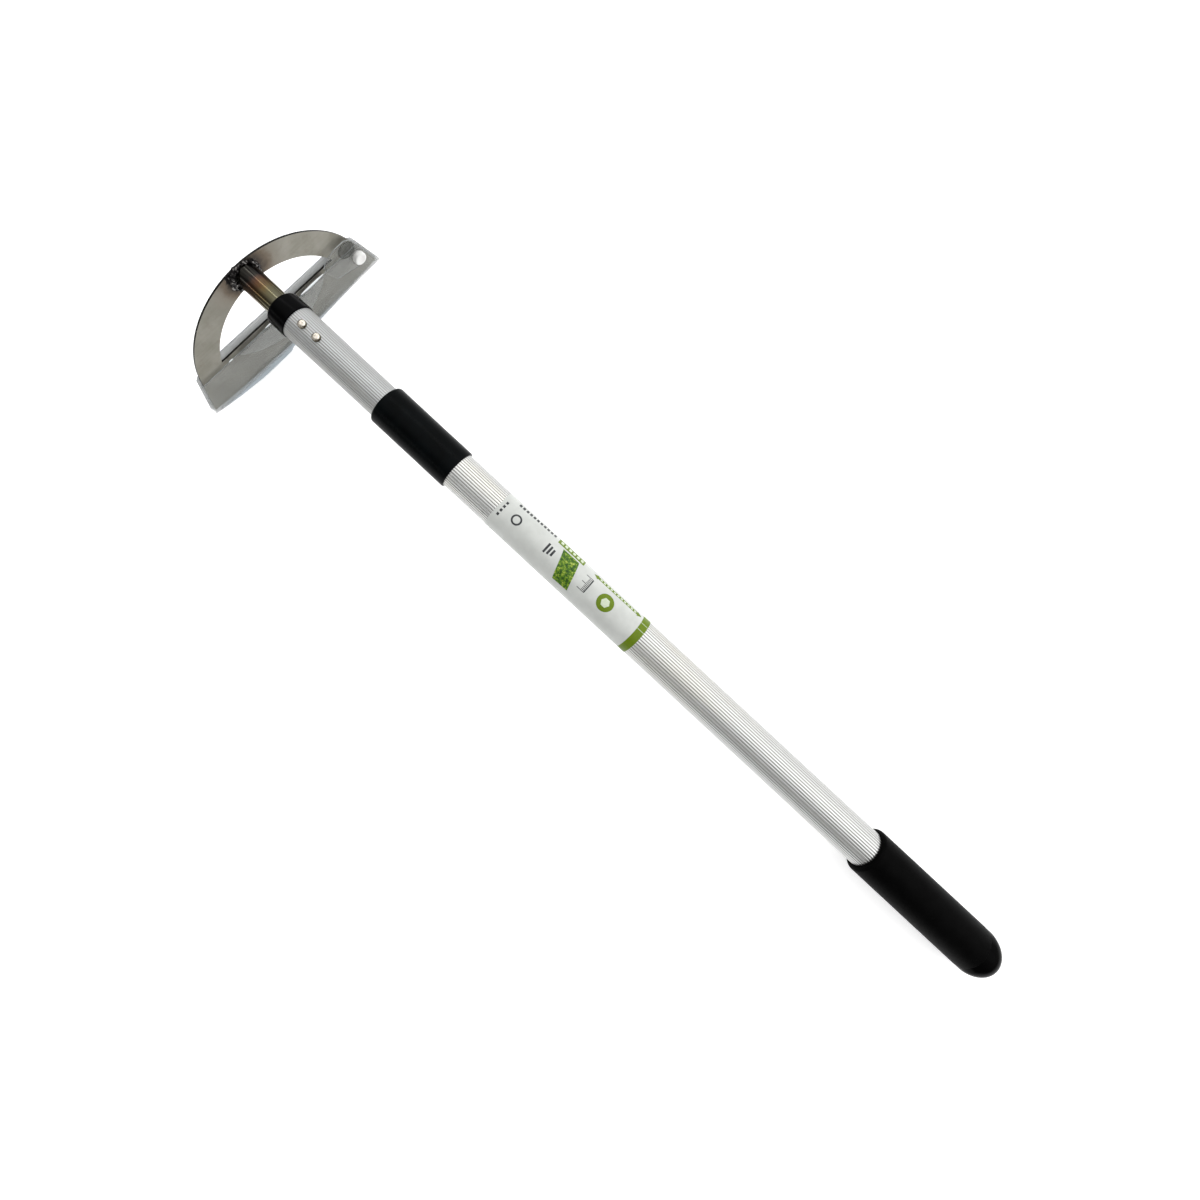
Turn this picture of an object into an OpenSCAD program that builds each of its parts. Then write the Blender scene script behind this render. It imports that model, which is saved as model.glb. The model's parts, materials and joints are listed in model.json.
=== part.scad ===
// Stand-up half-moon hoe with a telescopic ribbed handle, lying on its covered edge.
// The tool frame has +X along the shaft towards the grip, +Y across the blade and +Z at the
// front. place() tips it so that the covered edge and the end of the grip both touch the
// ground. Blade pieces are drawn flat in (x across, y up to the arc, z out of the front face).

/* [Blade] */
// Length of the cutting edge, corner to corner
cut_w = 180; // [150:5:200]
// Angle between the blade and the shaft
blade_angle = 83; // [75:1:90]
// Thickness of the steel plate
plate_t = 1.6; // [1.2:0.1:2.5]
// Outer radius of the half-moon
arc_r = 82.3; // [80:0.1:84]
// Radius of the window's round side
window_r = 62.4; // [60:0.1:64]
// How far the cutting edge bulges in the middle
edge_sag = 4.4; // [3:0.1:8]
// Width of the ground bevel
bevel_w = 7; // [4:0.5:12]

/* [Tang pipe and collar] */
// Outer diameter of the steel pipe
pipe_d = 18; // [16:0.5:19]
// Wall of the steel pipe
pipe_wall = 1.4; // [1:0.1:2]
// Distance along the shaft from the blade to the collar
collar_x = 33.8; // [30:0.2:45]
// Length of the black collar
collar_len = 15.4; // [10:0.2:20]
// Diameter of the rivet heads
rivet_head_d = 6; // [5:0.2:7]
// Distance between the two rivets
rivet_gap = 13; // [11:0.5:18]

/* [Handle] */
// Outer diameter of the thinner tube
inner_d = 25; // [24:0.1:25.1]
// Outer diameter of the thicker tube
outer_d = 27.5; // [27.4:0.1:28.5]
// Number of ribs on the thinner tube
inner_ribs = 44; // [30:1:60]
// Number of ribs on the thicker tube
outer_ribs = 44; // [30:1:60]
// Depth of the grooves between the ribs
rib_depth = 0.35; // [0.2:0.05:0.4]
// Diameter of the middle sleeve
sleeve_d = 30.2; // [29.6:0.2:34]
// Length of the middle sleeve
sleeve_len = 67.3; // [50:0.1:90]
// Diameter of the end grip
grip_d = 33.5; // [31:0.5:38]
// Length of the end grip with its cap
grip_len = 121; // [90:1:150]
// Distance along the shaft from the blade to the end of the handle
tool_len = 701.4; // [650:0.2:800]

/* [Label] */
// Length of the printed film on the thicker tube
label_len = 130; // [80:1:160]
// Distance along the shaft from the blade to the label
label_x = 238; // [210:1:260]

/* [Blade cover] */
// Thickness of the clear sheet
sheet_t = 0.8; // [0.5:0.1:1]
// Gap between the clear sheet and the plate
sheet_gap = 1.2; // [0.9:0.1:2]
// How far the folded edge hangs below the middle of the cutting edge
fold_gap = 6.5; // [4:0.5:7]
// How far the folded edge bulges in the middle
fold_sag = 7.8; // [7:0.1:8]
// Diameter of the snap's cap
cap_d = 10.4; // [8:0.2:12]

/* [Hidden] */

$fn = 96;
tiny = 0.01;
far = 400;

// Blade, drawn with the shaft's axis at the origin and y rising towards the arc's top
arc_cy = -72.1;
window_cy = -71.4;
window_y = -47.1;
shoulder_y = -48.2;
corner_y = -81.4;
shoulder_w = sqrt(arc_r * arc_r - pow(shoulder_y - arc_cy, 2));
side_slope = (cut_w / 2 - shoulder_w) / (shoulder_y - corner_y);
edge_r = (pow(cut_w / 2, 2) + edge_sag * edge_sag) / (2 * edge_sag);
edge_cy = corner_y - edge_sag + edge_r;
edge_y = corner_y - edge_sag;
edge_flat = 0.3;
bevel_slope = (plate_t - edge_flat) / bevel_w;

// Shaft stations, measured along the shaft from the blade's front face
pipe_r = pipe_d / 2;
inner_r = inner_d / 2;
outer_r = outer_d / 2;
inner_bore = inner_r - 1.1;
outer_bore = inner_r + 0.22;
collar_end = collar_x + collar_len;
inner_x = collar_end - 3.2;
inner_end = 552;
pipe_end = inner_x + 49;
skirt_end = inner_x + 38;
rivet_x = collar_end + 9.6;
sleeve_x = 132;
sleeve_end = sleeve_x + sleeve_len;
lip_len = 1;
bush_len = 5;
outer_x = sleeve_x + lip_len + bush_len;
grip_r = grip_d / 2;
grip_x = tool_len - grip_len;
dome_x = tool_len - grip_r;
cap_seam = dome_x - 4;
outer_end = cap_seam - 2;

// Clear cover, in the blade's own frame
fold_mid_z = -plate_t / 2;
fold_r = plate_t / 2 + sheet_gap + sheet_t;
front_z = sheet_gap;
back_z = -plate_t - sheet_gap - sheet_t;
fold_y = edge_y - fold_gap + (fold_r - sheet_t);
fold_curve = (pow(cut_w / 2, 2) + fold_sag * fold_sag) / (2 * fold_sag);
front_top = -50;
back_top = -41.5;
cover_over = 2.2;
snap_at = [76, -59];
snap_gap = 0.35;

// How the tool lies: the fold's round edge and the grip's round end on the ground
fold_sx = -fold_y * cos(blade_angle) + fold_mid_z * sin(blade_angle);
fold_sz = fold_y * sin(blade_angle) + fold_mid_z * cos(blade_angle);
lie_span = sqrt(pow(dome_x - fold_sx, 2) + fold_sz * fold_sz);
pitch = atan2(-fold_sz, dome_x - fold_sx) - asin((grip_r - fold_r) / lie_span);
ground = dome_x * sin(pitch) + grip_r;
head_x = -back_top * cos(blade_angle + pitch) + back_z * sin(blade_angle + pitch);
grip_tip_x = dome_x * cos(pitch) + grip_r;

module place() {
    translate([-(head_x + grip_tip_x) / 2, 0, ground]) rotate([0, pitch, 0]) children();
}

module along(x) { translate([x, 0, 0]) rotate([0, 90, 0]) children(); }

module on_blade() { rotate([0, blade_angle, 0]) rotate([0, 0, 90]) children(); }

// Solid of revolution about the shaft from [station, radius] points
module turned(points) {
    rotate([0, 90, 0]) rotate_extrude() polygon([for (p = points) [p[1], p[0]]]);
}

// Ring between two radii, with both outer edges rounded
module rounded_sleeve(x0, x1, bore, r, round0, round1) {
    steps = 8;
    turned(concat(
        [[x0, bore]],
        [for (i = [0:steps]) let(a = 90 * i / steps)
            [x0 + round0 * (1 - cos(a)), r - round0 * (1 - sin(a))]],
        [for (i = [0:steps]) let(a = 90 * i / steps)
            [x1 - round1 * (1 - sin(a)), r - round1 * (1 - cos(a))]],
        [[x1, bore]]
    ));
}

// Outline of a tube with fine ribs; each rib has a flat top and each groove a flat floor
module ribbed(r, ribs) {
    pitch_a = 360 / ribs;
    polygon([for (i = [0:ribs - 1], k = [[-0.28, 0], [0.28, 0], [0.4, 1], [0.6, 1]])
        let(a = (i + k[0]) * pitch_a, rr = r - k[1] * rib_depth) [rr * cos(a), rr * sin(a)]]);
}

module ribbed_tube(x0, x1, r, bore, ribs) {
    difference() {
        along(x0) linear_extrude(x1 - x0) ribbed(r, ribs);
        along(x0 - 1) cylinder(r = bore, h = x1 - x0 + 2);
    }
}

module rivet_holes() {
    for (i = [0, 1]) translate([rivet_x + i * rivet_gap, 0, 0]) cylinder(r = 1.6, h = 20);
}

// --- Blade and its pipe ---

module arc_outline() {
    intersection() {
        translate([0, arc_cy]) circle(arc_r, $fn = 180);
        translate([-far / 2, shoulder_y - 10]) square([far, far]);
    }
}

// Slanted sides, which cross the arc at the shoulders, and the curved cutting edge
module edge_outline() {
    up = 5;
    down = 60;
    intersection() {
        polygon([[-shoulder_w + side_slope * up, shoulder_y + up],
            [shoulder_w - side_slope * up, shoulder_y + up],
            [shoulder_w + side_slope * down, shoulder_y - down],
            [-shoulder_w - side_slope * down, shoulder_y - down]]);
        translate([0, edge_cy]) circle(edge_r, $fn = 720);
    }
}

module window_outline() {
    intersection() {
        translate([0, window_cy]) circle(window_r, $fn = 180);
        translate([-far / 2, window_y]) square([far, far]);
    }
}

module blade() {
    color("gainsboro") place() on_blade() difference() {
        translate([0, 0, -plate_t]) union() {
            linear_extrude(plate_t) arc_outline();
            linear_extrude(plate_t) edge_outline();
        }
        translate([0, 0, -plate_t - 1]) linear_extrude(plate_t + 2) window_outline();
        // ground bevel on the back of the cutting edge
        translate([0, edge_cy, 0]) rotate([0, 0, 255]) rotate_extrude(angle = 30, $fn = 720)
            polygon([[edge_r - bevel_w - 5, -plate_t - 5 * bevel_slope],
                [edge_r + 2, -edge_flat + 2 * bevel_slope], [edge_r + 2, -plate_t - 5]]);
    }
}

module tang_pipe() {
    color("darkkhaki") place() difference() {
        along(-6) cylinder(r = pipe_r, h = pipe_end + 6);
        along(-7) cylinder(r = pipe_r - pipe_wall, h = pipe_end + 8);
        on_blade() translate([-30, -30, -30]) cube([60, 60, 30]);
        rivet_holes();
    }
}

module weld_bead() {
    bead_r = 2.4;
    color("dimgray") place() difference() {
        on_blade() intersection() {
            rotate_extrude() translate([pipe_r + 0.3, 0.4]) circle(bead_r, $fn = 32);
            linear_extrude(bead_r * 2) intersection() {
                translate([0, arc_cy]) circle(arc_r - 0.2, $fn = 180);
                difference() {
                    square(60, center = true);
                    translate([0, window_cy]) circle(window_r + 0.2, $fn = 180);
                }
            }
        }
        along(-20) cylinder(r = pipe_r, h = 60);
    }
}

module head_collar() {
    r = inner_r + 0.85;
    soft = 2.1;
    color("black") place() difference() {
        turned([[collar_x, pipe_r], [collar_x, r - soft], [collar_x + soft * 0.3, r - soft * 0.3],
            [collar_x + soft, r], [collar_end, r], [collar_end, inner_r], [inner_x, inner_r],
            [inner_x, inner_bore], [skirt_end, inner_bore], [skirt_end, pipe_r]]);
        rivet_holes();
    }
}

// Blind rivet: domed head on the ribs, shank through tube, skirt and pipe, bulb inside
module rivet(x) {
    head_r = rivet_head_d / 2;
    head_h = 1.5;
    dome = (head_r * head_r + head_h * head_h) / (2 * head_h);
    bulb_z = pipe_r - pipe_wall - 0.6;
    color("rosybrown") place() translate([x, 0, 0]) difference() {
        union() {
            intersection() {
                translate([0, 0, inner_r + head_h - dome]) sphere(dome);
                translate([0, 0, inner_r]) cylinder(r = head_r, h = 5);
            }
            translate([0, 0, bulb_z - 1.5]) cylinder(r = 1.6, h = inner_r - bulb_z + 1.5 + tiny);
            translate([0, 0, bulb_z - 1.5]) cylinder(r = 2.3, h = 1.5);
        }
        translate([0, 0, bulb_z - 4]) cylinder(r = 0.9, h = 20);
    }
}

module rivet_front() { rivet(rivet_x); }
module rivet_rear() { rivet(rivet_x + rivet_gap); }

// Broken-off stem that stays in the rivet, with its head under the bulb
module mandrel(x) {
    bulb_z = pipe_r - pipe_wall - 2.1;
    color("silver") place() translate([x, 0, 0]) {
        translate([0, 0, bulb_z]) cylinder(r = 0.9, h = inner_r + 0.9 - bulb_z);
        translate([0, 0, bulb_z - 1.3]) cylinder(r = 1.7, h = 1.3);
    }
}

module mandrel_front() { mandrel(rivet_x); }
module mandrel_rear() { mandrel(rivet_x + rivet_gap); }

// --- Thinner tube and the twist lock at its hidden end ---

module inner_tube() {
    color("silver") place() difference() {
        ribbed_tube(inner_x, inner_end, inner_r, inner_bore, inner_ribs);
        rivet_holes();
    }
}

module lock_plug() {
    color("white") place() turned([[inner_end - 22, 3], [inner_end - 22, inner_bore],
        [inner_end, inner_bore], [inner_end, inner_r - 0.3], [inner_end + 2, inner_r - 0.3],
        [inner_end + 2, 3]]);
}

module lock_screw() {
    color("gray") place() turned([[inner_end - 20, 0], [inner_end - 20, 3],
        [inner_end + 40, 3], [inner_end + 40, 0]]);
}

module lock_end_nut() {
    color("gray") place() turned([[inner_end + 36, 3], [inner_end + 36, 6],
        [inner_end + 41, 6], [inner_end + 41, 3]]);
}

// Split expander: one slot along it, and a tapered bore for the cone
module lock_sleeve() {
    r = outer_bore - 0.17;
    color("white") place() difference() {
        turned([[inner_end + 4, 5], [inner_end + 4, r - 1], [inner_end + 5, r],
            [inner_end + 33, r], [inner_end + 34, r - 1], [inner_end + 34, 10.2],
            [inner_end + 14, 7.2], [inner_end + 14, 5]]);
        translate([inner_end, -1, 0]) cube([40, 2, 20]);
    }
}

module lock_cone() {
    color("gold") place() turned([[inner_end + 16, 3.08], [inner_end + 16, 7.4],
        [inner_end + 34, 10.1], [inner_end + 34, 3.08]]);
}

// --- Thicker tube and what is fixed to it ---

module outer_tube() {
    color("silver") place() ribbed_tube(outer_x, outer_end, outer_r, outer_bore, outer_ribs);
}

module mouth_bush() {
    color("black") place() turned([[sleeve_x + lip_len, inner_r + 0.08],
        [sleeve_x + lip_len, outer_r], [outer_x, outer_r], [outer_x, inner_r + 0.08]]);
}

module mid_sleeve() {
    color("black") place() difference() {
        rounded_sleeve(sleeve_x, sleeve_end, inner_r + 0.45, sleeve_d / 2, 2.1, 0.8);
        along(sleeve_x + lip_len) cylinder(r = outer_r, h = sleeve_len);
    }
}

module label() {
    color("white") place() difference() {
        along(label_x) cylinder(r = outer_r + 0.18, h = label_len);
        along(label_x - 1) cylinder(r = outer_r, h = label_len + 2);
        translate([label_x - 1, -1, -20]) cube([label_len + 2, 2, 20]);
    }
}

module end_grip() {
    color("black") place() rounded_sleeve(grip_x, cap_seam, outer_r, grip_r, 2.6, 0.3);
}

module end_cap() {
    color("black") place() difference() {
        union() {
            along(cap_seam) cylinder(r = grip_r, h = dome_x - cap_seam);
            intersection() {
                translate([dome_x, 0, 0]) sphere(grip_r);
                translate([dome_x, -far / 2, -far / 2]) cube(far);
            }
            along(outer_end - 16) cylinder(r = outer_bore, h = cap_seam - outer_end + 16);
        }
        along(outer_end - 17) cylinder(r = outer_bore - 2.5, h = 20);
    }
}

// --- Clear cover over the cutting edge ---

// Sheet folded round the cutting edge; the fold hangs in a curve of its own
module folded_sheet() {
    r0 = fold_curve;
    translate([0, fold_y + r0, 0]) rotate([0, 0, 255]) rotate_extrude(angle = 30, $fn = 720)
        difference() {
            union() {
                translate([r0, fold_mid_z]) circle(fold_r, $fn = 48);
                translate([r0 - 60, fold_mid_z - fold_r]) square([60, 2 * fold_r]);
            }
            translate([r0, fold_mid_z]) circle(fold_r - sheet_t, $fn = 48);
            translate([r0 - 61, fold_mid_z - fold_r + sheet_t])
                square([61, 2 * (fold_r - sheet_t)]);
        }
}

// What lies outside one of the cover's slanted sides
module beside_cover() {
    side = shoulder_w + cover_over;
    translate([0, 0, -20]) linear_extrude(40)
        polygon([[side - side_slope * 50, shoulder_y + 50], [side + side_slope * 60, shoulder_y - 60],
            [side + 120, shoulder_y - 60], [side + 120, shoulder_y + 50]]);
}

module blade_cover() {
    color([0.85, 0.9, 0.93, 0.4]) place() on_blade() difference() {
        folded_sheet();
        translate([-far / 2, front_top, fold_mid_z]) cube([far, far / 2, 20]);
        translate([-far / 2, back_top, -20]) cube([far, far / 2, 40]);
        beside_cover();
        mirror([1, 0, 0]) beside_cover();
    }
}

// Half-moon flap folded down over the middle of the cover's front
module cover_tongue() {
    half = 45;
    drop = 22;
    r = (half * half + drop * drop) / (2 * drop);
    color([0.85, 0.9, 0.93, 0.4]) place() on_blade() translate([0, 0, front_z + sheet_t])
        linear_extrude(0.5) intersection() {
            translate([0, front_top - drop + r]) circle(r, $fn = 180);
            translate([-half, front_top - drop - 1]) square([2 * half, drop + 1]);
        }
}

module snap_stud() {
    color("white") place() on_blade() translate([snap_at[0], snap_at[1], 0]) {
        translate([0, 0, front_z + sheet_t]) cylinder(r = 4.2, h = 0.7);
        translate([0, 0, front_z + sheet_t]) cylinder(r = 1.5, h = 2.4);
    }
}

// Tab that carries the snap: a strip from its crease to a round end
module cover_tab() {
    z = front_z + sheet_t + 0.7 + snap_gap;
    color([0.85, 0.9, 0.93, 0.4]) place() on_blade() translate([0, 0, z]) difference() {
        linear_extrude(sheet_t) union() {
            translate(snap_at) circle(8.5);
            polygon([[48, -51], [51, -63], snap_at + [-2, -8.3], snap_at + [1, 8.4]]);
        }
        translate([snap_at[0], snap_at[1], -1]) cylinder(r = 2.3, h = 3);
    }
}

module snap_socket() {
    z = front_z + sheet_t + 0.7 + snap_gap + sheet_t;
    color("white") place() on_blade() translate([snap_at[0], snap_at[1], z]) difference() {
        cylinder(r = cap_d / 2 - 0.8, h = 1.4);
        translate([0, 0, -1]) cylinder(r = 2, h = 4);
    }
}

module snap_cap() {
    z = front_z + sheet_t + 0.7 + snap_gap + sheet_t;
    color("white") place() on_blade() translate([snap_at[0], snap_at[1], z]) difference() {
        union() {
            cylinder(r = cap_d / 2, h = 3.4);
            translate([0, 0, 3.4]) cylinder(r1 = cap_d / 2, r2 = cap_d / 2 - 0.8, h = 0.8, $fn = 96);
        }
        translate([0, 0, -1]) cylinder(r = cap_d / 2 - 0.8, h = 2.4);
        translate([0, 0, -1]) cylinder(r = 2, h = 3.2);
    }
}

blade();
weld_bead();
tang_pipe();
head_collar();
rivet_front();
rivet_rear();
mandrel_front();
mandrel_rear();
inner_tube();
lock_plug();
lock_screw();
lock_end_nut();
lock_sleeve();
lock_cone();
outer_tube();
mouth_bush();
mid_sleeve();
label();
end_grip();
end_cap();
blade_cover();
cover_tongue();
snap_stud();
cover_tab();
snap_socket();
snap_cap();
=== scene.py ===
"""Looks for the telescopic half-moon hoe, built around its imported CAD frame."""

import json
import math
import random

import bmesh
import bpy
from mathutils import Matrix, Vector, noise


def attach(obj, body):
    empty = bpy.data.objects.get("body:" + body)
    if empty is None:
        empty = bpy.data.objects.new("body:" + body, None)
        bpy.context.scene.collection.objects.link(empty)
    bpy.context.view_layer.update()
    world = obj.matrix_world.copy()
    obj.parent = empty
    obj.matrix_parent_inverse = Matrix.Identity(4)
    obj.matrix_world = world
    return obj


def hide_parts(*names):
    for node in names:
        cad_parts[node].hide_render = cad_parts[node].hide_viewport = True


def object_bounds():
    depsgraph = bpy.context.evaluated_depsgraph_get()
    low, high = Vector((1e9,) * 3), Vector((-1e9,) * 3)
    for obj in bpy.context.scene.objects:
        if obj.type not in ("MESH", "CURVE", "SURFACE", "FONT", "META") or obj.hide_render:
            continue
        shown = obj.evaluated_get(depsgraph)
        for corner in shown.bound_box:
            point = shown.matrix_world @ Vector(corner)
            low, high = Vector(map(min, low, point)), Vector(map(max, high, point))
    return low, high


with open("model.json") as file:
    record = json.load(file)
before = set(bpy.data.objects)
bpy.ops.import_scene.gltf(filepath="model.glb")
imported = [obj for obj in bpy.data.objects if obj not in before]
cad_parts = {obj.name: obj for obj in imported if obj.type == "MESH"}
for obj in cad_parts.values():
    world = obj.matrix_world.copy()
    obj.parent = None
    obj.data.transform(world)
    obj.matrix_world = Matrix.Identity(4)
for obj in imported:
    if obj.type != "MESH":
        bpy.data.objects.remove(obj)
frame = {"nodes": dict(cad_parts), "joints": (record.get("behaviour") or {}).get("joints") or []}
CAD_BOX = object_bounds()
MM = 0.001

# --- Where things are: two drawing frames worked out from the joints ---

JOINTS = {j["name"]: j for j in frame["joints"]}
NODES = frame["nodes"]
LOCK_STATION = 0.570  # distance along the shaft from the blade to the twist joint's point
ALONG = Vector(JOINTS["tube_twist"]["axis"]).normalized()
ACROSS = Vector((0, 1, 0))
HEAD = Vector(JOINTS["tube_twist"]["pos_m"]) - LOCK_STATION * ALONG
UP_BLADE = -Vector(JOINTS["cover_slide"]["axis"]).normalized()


def drawing_frame(x_axis, y_axis):
    """Millimetres along two perpendicular axes and their normal, from the head's origin."""
    z_axis = x_axis.cross(y_axis)
    turn = Matrix((x_axis, y_axis, z_axis)).transposed().to_4x4()
    return Matrix.Translation(HEAD) @ turn @ Matrix.Scale(MM, 4)


SHAFT = drawing_frame(ALONG, ACROSS)  # x along the shaft, y across, z out of the rivets' side
BLADE = drawing_frame(ACROSS, UP_BLADE)  # x across, y up to the arch, z out of the front face

# Stations along the shaft and radii, in millimetres, as the CAD has them
PIPE_R = 9.0
COLLAR = (33.8, 49.2)
COLLAR_LAP = 3.2  # how far the collar runs over the tube's end
SPIGOT = 34.8  # how far its plug goes on inside the tube
RIVETS = (58.8, 71.8)
INNER_R, INNER_END = 12.5, 552.0
SLEEVE = (132.0, 199.3)
SLEEVE_LIP = 133.0  # where the sleeve's front lip ends
SLEEVE_R = 15.1
OUTER_R = 13.75
RIBS = 44
OUTER = (138.0, 678.4)
RIB_DEPTH = 0.24
LABEL = (238.0, 368.0)
FILM_R = OUTER_R + 0.18
GRIP = (582.6, 680.65)
GRIP_R = 16.75
DOME_X = 684.65


# --- Procedural materials ---


class Paint:
    """One material: a Principled shader, and short ways to add the nodes that feed it."""

    def __init__(self, name, **sockets):
        self.material = bpy.data.materials.new(name)
        self.material.use_nodes = True
        self.tree = self.material.node_tree
        self.shader = self.tree.nodes["Principled BSDF"]
        for socket, value in sockets.items():
            self.shader.inputs[socket.replace("_", " ")].default_value = value

    def node(self, kind, inputs=(), **settings):
        made = self.tree.nodes.new("ShaderNode" + kind)
        for key, value in settings.items():
            setattr(made, key, value)
        for key, value in dict(inputs).items():
            self.feed(value, made.inputs[key])
        return made

    def feed(self, value, socket):
        if isinstance(value, bpy.types.NodeSocket):
            self.tree.links.new(value, socket)
        else:
            socket.default_value = value

    def place(self, drawing):
        """Coordinates in a drawing frame's millimetres; they ride with the piece."""
        at, turn, scale = drawing.decompose()
        inputs = {
            "Vector": self.node("TexCoord").outputs["Object"],
            "Location": at,
            "Rotation": turn.to_euler(),
            "Scale": scale,
        }
        return self.node("Mapping", inputs, vector_type="TEXTURE").outputs[0]

    def stretch(self, vector, scale):
        return self.node("VectorMath", {0: vector, 1: scale}, operation="MULTIPLY").outputs[0]

    def axes(self, vector):
        return self.node("SeparateXYZ", {0: vector}).outputs

    def noise(self, vector, scale, detail=4.0, roughness=0.55):
        inputs = {"Vector": vector, "Scale": scale, "Detail": detail, "Roughness": roughness}
        return self.node("TexNoise", inputs).outputs[0]

    def math(self, operation, a, b):
        return self.node("Math", {0: a, 1: b}, operation=operation).outputs[0]

    def span(self, value, low, high, to_low=0.0, to_high=1.0):
        inputs = {"Value": value, "From Min": low, "From Max": high}
        inputs.update({"To Min": to_low, "To Max": to_high})
        return self.node("MapRange", inputs).outputs[0]

    def ramp(self, value, stops):
        made = self.node("ValToRGB", {0: value})
        ramp = made.color_ramp
        while len(ramp.elements) < len(stops):
            ramp.elements.new(1.0)
        for element, (position, colour) in zip(ramp.elements, stops):
            element.position = position
            element.color = (*colour, 1.0)
        return made.outputs[0]

    def mix(self, factor, a, b, blend="MIX"):
        made = self.node("Mix", data_type="RGBA", blend_type=blend)
        for value, socket in ((factor, 0), (a, 6), (b, 7)):
            if isinstance(value, tuple) and len(value) == 3:
                value = (*value, 1.0)
            self.feed(value, made.inputs[socket])
        return made.outputs[2]

    def colour(self, value):
        self.feed(value, self.shader.inputs["Base Color"])

    def rough(self, value):
        self.feed(value, self.shader.inputs["Roughness"])

    def bump(self, height, distance):
        inputs = {"Height": height, "Distance": distance * MM, "Strength": 1.0}
        self.feed(self.node("Bump", inputs).outputs[0], self.shader.inputs["Normal"])


def plate_steel():
    """Stainless plate: fine grinding marks, stains, and a burnt halo round the weld."""
    p = Paint("plate_steel", Metallic=1.0)
    at = p.place(BLADE)
    grind = p.noise(p.stretch(at, (0.02, 0.45, 0.45)), 1.0, 4.0, 0.6)
    cloud = p.noise(at, 0.045, 3.0)
    stain = p.noise(at, 0.11, 5.0, 0.65)
    steel = p.ramp(cloud, [(0.3, (0.175, 0.167, 0.135)), (0.7, (0.255, 0.246, 0.212))])
    steel = p.mix(p.span(stain, 0.54, 0.74, 0.0, 0.5), steel, (0.13, 0.105, 0.075))
    steel = p.mix(p.span(grind, 0.3, 0.7, 0.0, 0.2), steel, (0.36, 0.36, 0.34))
    reach = p.node("VectorMath", {0: p.stretch(at, (0.8, 1.0, 0.0))}, operation="LENGTH")
    reach = p.math("ADD", reach.outputs["Value"], p.span(stain, 0.0, 1.0, -4.0, 4.0))
    halo = [
        (0.0, (0.05, 0.045, 0.045)),
        (0.33, (0.06, 0.05, 0.042)),
        (0.43, (0.13, 0.105, 0.08)),
        (0.56, (0.2, 0.18, 0.15)),
        (1.0, (0.22, 0.215, 0.195)),
    ]
    burnt = p.ramp(p.span(reach, 0.0, 34.0), halo)
    colour = p.mix(p.span(reach, 16.0, 30.0, 1.0, 0.0), steel, burnt)
    # A near-black patch on the plate beside the weld: an oval round the point (-5.5, 5.5) with a noisy edge.
    from_dark_patch = p.node("VectorMath", {0: at, 1: (-5.5, 5.5, 0.0)}, operation="SUBTRACT").outputs[0]
    dark_patch = p.node("VectorMath", {0: p.stretch(from_dark_patch, (0.115, 0.14, 0.0))}, operation="LENGTH")
    dark_patch = p.math("ADD", dark_patch.outputs["Value"], p.span(p.noise(at, 0.6, 3.0), 0.3, 0.7, -0.15, 0.15))
    in_dark_patch = p.span(dark_patch, 0.92, 1.06, 1.0, 0.0)
    p.colour(p.mix(in_dark_patch, colour, (0.012, 0.011, 0.011)))
    p.rough(p.span(grind, 0.2, 0.8, 0.4, 0.5))
    p.bump(grind, 0.01)
    return p.material


def rim_steel():
    """The plate's cut rim: darker than its faces."""
    p = Paint("rim_steel", Metallic=1.0, Roughness=0.42)
    grain = p.noise(p.place(BLADE), 0.8)
    p.colour(p.ramp(grain, [(0.3, (0.008, 0.008, 0.008)), (0.75, (0.04, 0.038, 0.035))]))
    return p.material


def tinted_pipe():
    """Pipe steel: black and brown at the weld, then straw, then olive grey."""
    p = Paint("tinted_pipe", Metallic=1.0)
    at = p.place(SHAFT)
    station = p.axes(at)[0]
    streak = p.noise(p.stretch(at, (0.03, 0.45, 0.45)), 1.0, 3.0, 0.6)
    patch = p.noise(at, 0.14, 3.0)
    wander = p.math("ADD", station, p.span(patch, 0.0, 1.0, -6.0, 6.0))
    tint = [
        (0.0, (0.008, 0.008, 0.008)),
        (0.21, (0.012, 0.011, 0.011)),
        (0.27, (0.05, 0.028, 0.022)),
        (0.37, (0.085, 0.042, 0.022)),
        (0.5, (0.11, 0.075, 0.032)),
        (0.68, (0.1, 0.09, 0.05)),
        (1.0, (0.105, 0.105, 0.08)),
    ]
    tint = p.ramp(p.span(wander, 0.0, 40.0), tint)
    p.colour(p.mix(p.span(streak, 0.4, 0.75, 0.0, 0.3), tint, (0.2, 0.19, 0.15)))
    p.rough(p.span(streak, 0.3, 0.7, 0.1, 0.16))
    return p.material


def fused_weld():
    """Weld metal: black, with brighter flecks."""
    p = Paint("fused_weld", Metallic=1.0, Roughness=0.25)
    at = p.place(BLADE)
    grain = p.noise(at, 0.55, 3.0, 0.6)
    p.colour(p.ramp(grain, [(0.5, (0.012, 0.011, 0.011)), (0.66, (0.22, 0.21, 0.2))]))
    p.bump(p.noise(at, 0.9, 2.0), 0.08)
    return p.material


def aluminium(name, tint):
    """Anodised extrusion, with long slow changes of tone and gloss and slightly warm soiling."""
    p = Paint(name, Metallic=1.0)
    at = p.place(SHAFT)
    soil = p.noise(p.stretch(at, (0.008, 0.05, 0.05)), 1.0, 3.0)
    colour = p.mix(p.span(soil, 0.3, 0.55, 0.25, 0.0), tint, tuple(0.8 * c for c in tint))
    colour = p.mix(p.span(soil, 0.52, 0.75, 0.0, 0.3), colour, (tint[0] * 1.08, tint[1], tint[2] * 0.82))
    p.colour(colour)
    p.rough(p.span(soil, 0.25, 0.75, 0.28, 0.34))
    return p.material


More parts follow.
